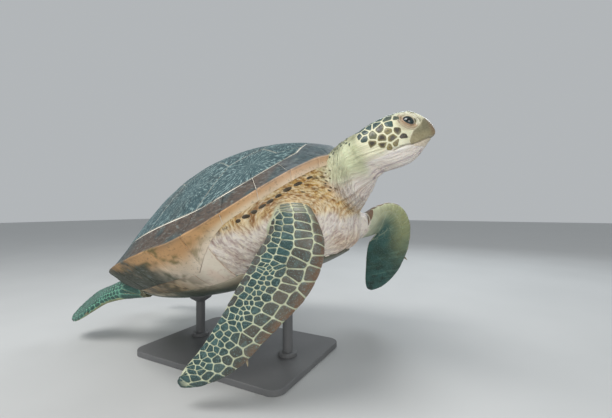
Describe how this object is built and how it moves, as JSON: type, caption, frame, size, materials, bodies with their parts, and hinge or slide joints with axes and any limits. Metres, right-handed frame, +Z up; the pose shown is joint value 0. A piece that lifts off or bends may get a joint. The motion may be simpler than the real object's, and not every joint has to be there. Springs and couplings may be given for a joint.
{
  "type": "green sea turtle display model",
  "caption": "Still, life-size green sea turtle swimming nose-up with its head raised, held by two rods on a flat base.",
  "frame": {"origin": "middle of the stand base's underside, on the floor", "axes": "+X is the way the turtle swims, +Y its left side, +Z up"},
  "size_m": [1.2588, 0.8801, 0.7128],
  "materials": {
    "carapace_scute": "satin horn, slate teal with pale flecks",
    "marginal_scute": "satin horn, grey-brown above, tan below",
    "plastron": "smooth horn, cream",
    "body_skin": "soft wrinkled skin, ochre to white",
    "head_skin": "scaled skin, olive-brown with cream seams",
    "beak": "horn, olive-tan",
    "eye": "wet, near black",
    "flipper_skin": "scaled skin, grey-brown with pale seams",
    "claw": "horn",
    "stand_steel": "satin dark grey paint"
  },
  "bodies": {
    "root": {"beak_lower": "beak", "beak_upper": "beak", "bridge_left": "plastron", "bridge_right": "plastron", "claw_fore_left": "claw", "claw_fore_right": "claw", "claw_hind_left": "claw", "claw_hind_right": "claw", "costal_left_1": "carapace_scute", "costal_left_2": "carapace_scute", "costal_left_3": "carapace_scute", "costal_left_4": "carapace_scute", "costal_right_1": "carapace_scute", "costal_right_2": "carapace_scute", "costal_right_3": "carapace_scute", "costal_right_4": "carapace_scute", "eye_left": "eye", "eye_right": "eye", "fore_left_arm": "flipper_skin", "fore_left_hand": "flipper_skin", "fore_right_arm": "flipper_skin", "fore_right_hand": "flipper_skin", "head": "head_skin", "hind_left_leg": "flipper_skin", "hind_left_paddle": "flipper_skin", "hind_right_leg": "flipper_skin", "hind_right_paddle": "flipper_skin", "jaw_lower": "head_skin", "marginals_left": "marginal_scute", "marginals_right": "marginal_scute", "neck": "body_skin", "nuchal": "carapace_scute", "plastron_left": "plastron", "plastron_right": "plastron", "stand_base": "stand_steel", "stand_rod_front": "stand_steel", "stand_rod_rear": "stand_steel", "tail": "body_skin", "trunk": "body_skin", "vertebral_1": "carapace_scute", "vertebral_2": "carapace_scute", "vertebral_3": "carapace_scute", "vertebral_4": "carapace_scute", "vertebral_5": "carapace_scute"}
  },
  "joints": []
}
